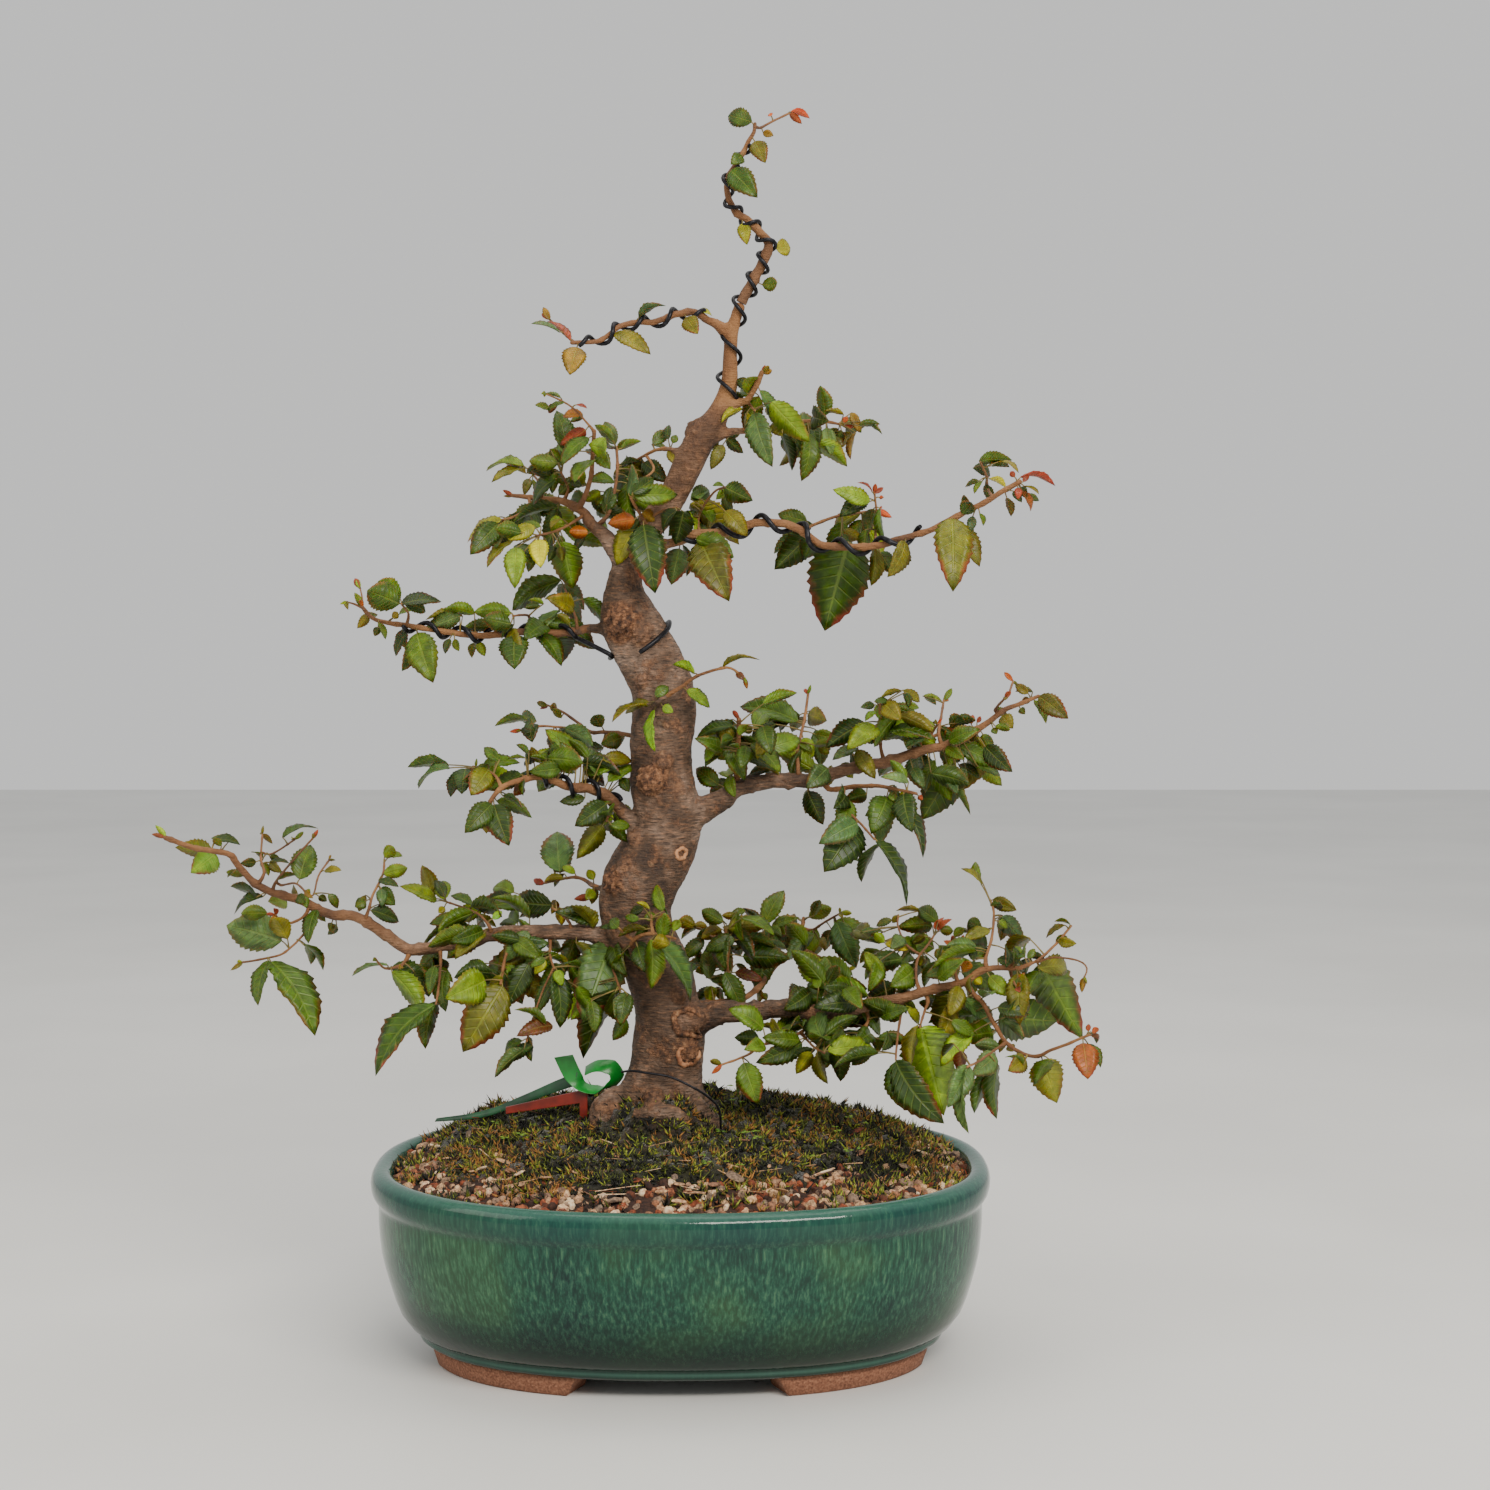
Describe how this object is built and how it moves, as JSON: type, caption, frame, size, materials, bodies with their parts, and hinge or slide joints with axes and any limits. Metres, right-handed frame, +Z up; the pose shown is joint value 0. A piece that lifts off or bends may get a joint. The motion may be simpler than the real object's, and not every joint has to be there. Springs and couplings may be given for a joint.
{
  "type": "zelkova bonsai",
  "caption": "Young zelkova bonsai with a curved trunk, side branches with training wires and serrated leaves, in an oval green-glazed pot on short feet.",
  "frame": {"origin": "middle of the underside of the whole object's bounding box, on the surface that the pot's feet stand on", "axes": "+Z up; +X to the right along the pot's long side; -Y to the front, where the plant is viewed from"},
  "size_m": [0.4528, 0.242, 0.6209],
  "materials": {
    "green_glaze": "glossy mottled green stoneware glaze, feet of bare reddish clay",
    "akadama_soil": "grains of baked clay and pumice",
    "moss": "short dense moss",
    "plastic_net": "black plastic net",
    "zelkova_bark": "smooth grey-brown bark with pores",
    "zelkova_leaves": "thin green leaves on brown twigs",
    "anodised_wire": "black anodised, satin",
    "red_label": "matt dark red plastic",
    "green_strap": "bright green plastic strip"
  },
  "bodies": {
    "root": {"pot": "green_glaze", "drain_mesh_left": "plastic_net", "drain_mesh_right": "plastic_net", "soil": "akadama_soil", "moss": "moss", "trunk": "zelkova_bark", "leader_shoot": "zelkova_leaves", "upper_left_branch": "zelkova_leaves", "apex_right_branch": "zelkova_leaves", "apex_stub_shoot": "zelkova_leaves", "upper_right_branch": "zelkova_leaves", "neck_shoot": "zelkova_leaves", "neck_left_branch": "zelkova_leaves", "apex_left_branch": "zelkova_leaves", "middle_left_branch": "zelkova_leaves", "lower_middle_left_branch": "zelkova_leaves", "rear_left_branch": "zelkova_leaves", "middle_front_shoot": "zelkova_leaves", "middle_right_branch": "zelkova_leaves", "lower_left_branch": "zelkova_leaves", "left_rear_shoot": "zelkova_leaves", "lower_front_shoot": "zelkova_leaves", "rear_right_branch": "zelkova_leaves", "lower_right_branch": "zelkova_leaves", "wire_leader": "anodised_wire", "wire_upper_left": "anodised_wire", "wire_upper_right": "anodised_wire", "wire_middle_left": "anodised_wire", "wire_lower_middle_left": "anodised_wire", "plant_label": "red_label", "tag_strap": "green_strap", "tie_wire": "anodised_wire"}
  },
  "joints": []
}
